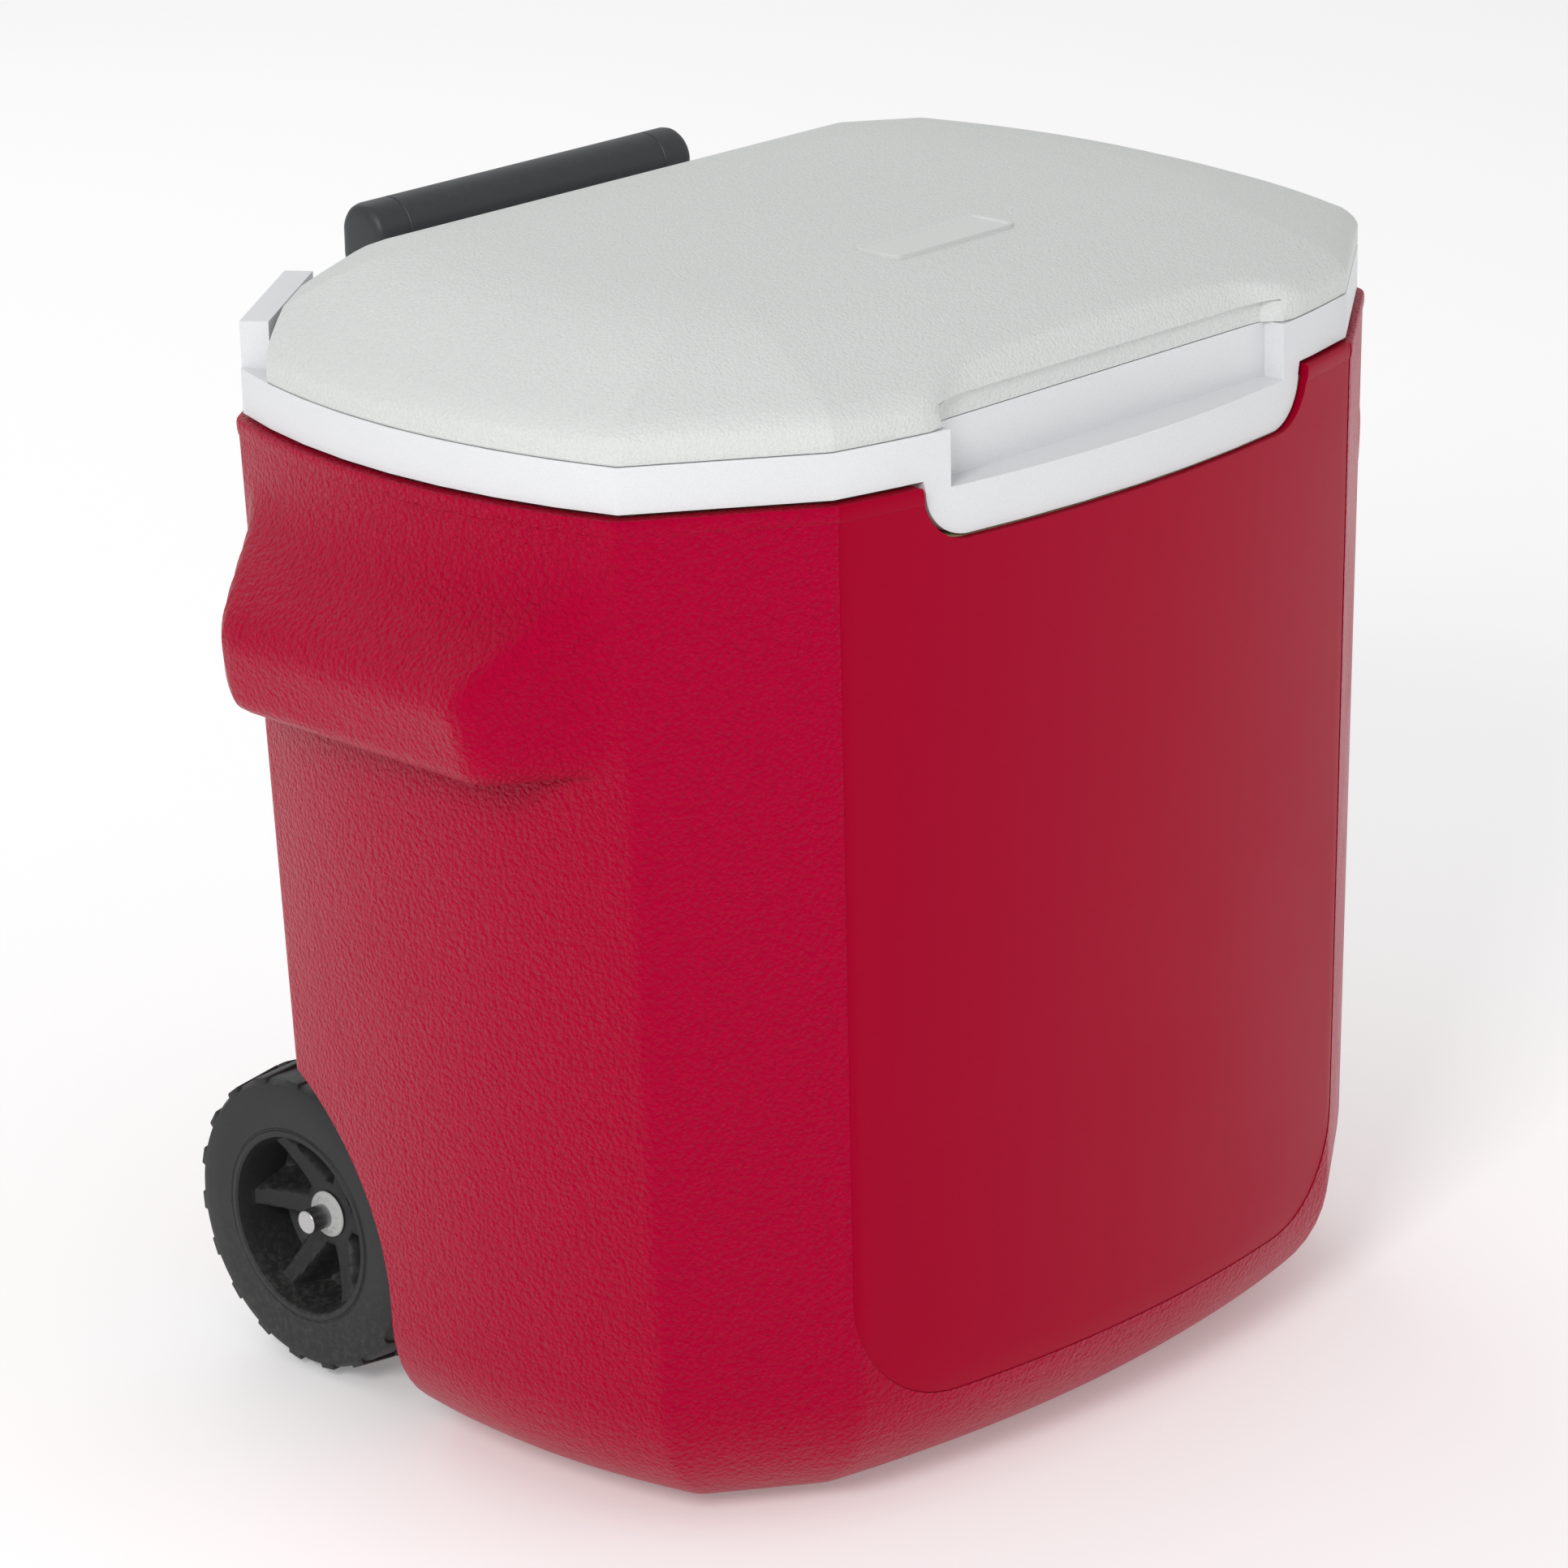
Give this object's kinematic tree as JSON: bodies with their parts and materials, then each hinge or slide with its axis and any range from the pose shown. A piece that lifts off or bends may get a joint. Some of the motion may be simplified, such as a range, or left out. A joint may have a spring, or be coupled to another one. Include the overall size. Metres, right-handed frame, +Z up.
{
  "type": "wheeled cooler chest",
  "caption": "Insulated cooler chest with bowed walls, chamfered corners, moulded side handles, a hinged domed lid, a telescoping pull handle and lugged wheels at the back.",
  "frame": {"origin": "on the floor under the middle of the tub's plan", "axes": "+Z up, -Y towards the front with the finger recess, +X to the right seen from the front"},
  "size_m": [0.412, 0.2839, 0.3748],
  "materials": {
    "shell_red": "satin",
    "foam": "matte",
    "liner_white": "satin",
    "lid_grey": "satin",
    "steel": "satin",
    "grip_black": "satin",
    "tube_metal": "satin",
    "black_plastic": "satin",
    "wheel_black": "satin",
    "nut_grey": "satin"
  },
  "bodies": {
    "tub": {"outer_shell": "shell_red", "foam_core": "foam", "liner": "liner_white", "hinge_pin_left": "steel", "hinge_pin_right": "steel", "outer_tube_left": "tube_metal", "outer_tube_right": "tube_metal", "tube_collar_left": "black_plastic", "tube_collar_right": "black_plastic", "upper_bracket": "black_plastic", "lower_bracket": "black_plastic", "upper_bracket_screws": "steel", "lower_bracket_screws": "steel", "axle": "steel", "axle_clip_left": "black_plastic", "axle_clip_right": "black_plastic", "clip_screws": "steel", "washer_left": "steel", "washer_right": "steel", "push_nut_left": "nut_grey", "push_nut_right": "nut_grey"},
    "lid": {"lid_top": "lid_grey", "lid_inner": "liner_white", "lid_foam": "foam"},
    "handle_lower": {"middle_tube_left": "tube_metal", "middle_tube_right": "tube_metal", "middle_plug_left": "black_plastic", "middle_plug_right": "black_plastic", "middle_yoke": "black_plastic"},
    "handle_upper": {"handle_grip": "grip_black", "grip_screws": "steel", "inner_tube_left": "tube_metal", "inner_tube_right": "tube_metal", "inner_plug_left": "black_plastic", "inner_plug_right": "black_plastic"},
    "wheel_l": {"wheel_left": "wheel_black"},
    "wheel_r": {"wheel_right": "wheel_black"}
  },
  "joints": [
    {"name": "lid_hinge", "type": "hinge", "parent": "tub", "child": "lid", "pos_m": [0, 0.1, 0.352], "axis": [-1, 0, 0], "range_deg": [0, 90]},
    {"name": "handle_lower_slide", "type": "slide", "parent": "tub", "child": "handle_lower", "axis": [0, 0, 1], "range_m": [0, 0.215]},
    {"name": "handle_upper_slide", "type": "slide", "parent": "handle_lower", "child": "handle_upper", "axis": [0, 0, 1], "range_m": [0, 0.22]},
    {"name": "wheel_left_spin", "type": "hinge", "parent": "tub", "child": "wheel_l", "pos_m": [-0.133, 0.095, 0.052], "axis": [-1, 0, 0], "continuous": true},
    {"name": "wheel_right_spin", "type": "hinge", "parent": "tub", "child": "wheel_r", "pos_m": [0.133, 0.095, 0.052], "axis": [-1, 0, 0], "continuous": true}
  ]
}
